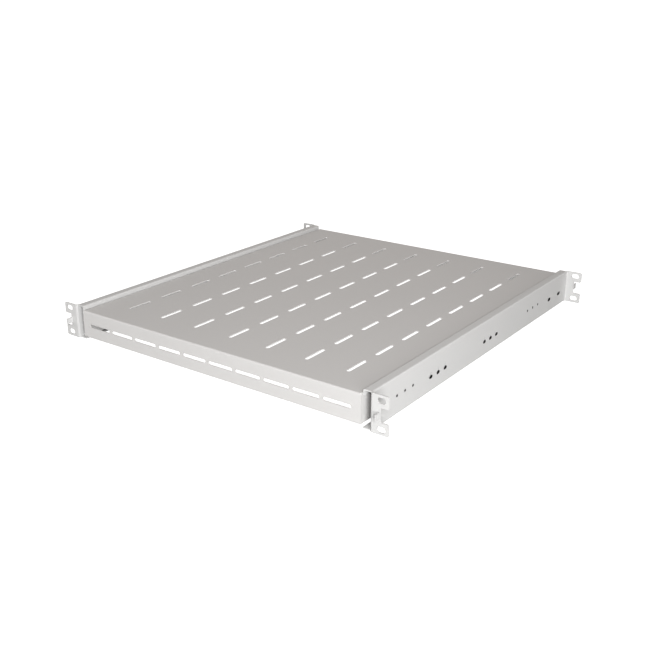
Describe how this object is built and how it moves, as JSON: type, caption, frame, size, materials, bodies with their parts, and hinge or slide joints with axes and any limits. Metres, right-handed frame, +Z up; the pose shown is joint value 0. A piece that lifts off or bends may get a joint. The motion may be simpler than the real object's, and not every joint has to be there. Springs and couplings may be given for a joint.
{
  "type": "sliding rack shelf",
  "caption": "Slotted sheet-metal tray that pulls forward on telescopic ball slides between two side rails with slotted ears for a rack's front and rear posts.",
  "frame": {"origin": "centre of the shelf's plan, level with the underside of the side rails", "axes": "+X to the right seen from the front, +Y to the rear, +Z up out of the deck"},
  "size_m": [0.4826, 0.514, 0.0436],
  "materials": {
    "grey_coat": "fine satin light grey powder coat",
    "zinc": "bright zinc plated cold-rolled steel",
    "retainer_steel": "pressed strip, phosphated dull black and oiled",
    "ball_steel": "polished bearing steel, lightly greased",
    "buffer": "matt black moulded",
    "rivet_steel": "dull black phosphated steel",
    "screw_steel": "zinc plated"
  },
  "bodies": {
    "rails": {"rail_left": "grey_coat", "slide_outer_left": "zinc", "rail_rivets_left": "rivet_steel", "bumper_outer_left": "buffer", "rail_right": "grey_coat", "slide_outer_right": "zinc", "rail_rivets_right": "rivet_steel", "bumper_outer_right": "buffer"},
    "tray": {"tray": "grey_coat", "slide_inner_left": "zinc", "tray_screws_left": "screw_steel", "slide_inner_right": "zinc", "tray_screws_right": "screw_steel"},
    "middle_left": {"slide_middle_left": "zinc", "bumper_middle_left": "buffer"},
    "retainer_outer_left": {"retainer_outer_left": "retainer_steel", "balls_outer_left": "ball_steel"},
    "retainer_inner_left": {"retainer_inner_left": "retainer_steel", "balls_inner_left": "ball_steel"},
    "middle_right": {"slide_middle_right": "zinc", "bumper_middle_right": "buffer"},
    "retainer_outer_right": {"retainer_outer_right": "retainer_steel", "balls_outer_right": "ball_steel"},
    "retainer_inner_right": {"retainer_inner_right": "retainer_steel", "balls_inner_right": "ball_steel"}
  },
  "joints": [
    {"name": "tray_slide", "type": "slide", "parent": "rails", "child": "tray", "axis": [0, -1, 0], "range_m": [0, 0.42]},
    {"name": "middle_left_slide", "type": "slide", "parent": "rails", "child": "middle_left", "axis": [0, -1, 0], "range_m": [0, 0.21]},
    {"name": "retainer_outer_left_slide", "type": "slide", "parent": "rails", "child": "retainer_outer_left", "axis": [0, -1, 0], "range_m": [0, 0.105]},
    {"name": "retainer_inner_left_slide", "type": "slide", "parent": "rails", "child": "retainer_inner_left", "axis": [0, -1, 0], "range_m": [0, 0.315]},
    {"name": "middle_right_slide", "type": "slide", "parent": "rails", "child": "middle_right", "axis": [0, -1, 0], "range_m": [0, 0.21]},
    {"name": "retainer_outer_right_slide", "type": "slide", "parent": "rails", "child": "retainer_outer_right", "axis": [0, -1, 0], "range_m": [0, 0.105]},
    {"name": "retainer_inner_right_slide", "type": "slide", "parent": "rails", "child": "retainer_inner_right", "axis": [0, -1, 0], "range_m": [0, 0.315]}
  ],
  "couplings": [
    {"joint": "middle_left_slide", "follows": "tray_slide", "ratio": 0.5},
    {"joint": "retainer_outer_left_slide", "follows": "tray_slide", "ratio": 0.25},
    {"joint": "retainer_inner_left_slide", "follows": "tray_slide", "ratio": 0.75},
    {"joint": "middle_right_slide", "follows": "tray_slide", "ratio": 0.5},
    {"joint": "retainer_outer_right_slide", "follows": "tray_slide", "ratio": 0.25},
    {"joint": "retainer_inner_right_slide", "follows": "tray_slide", "ratio": 0.75}
  ]
}
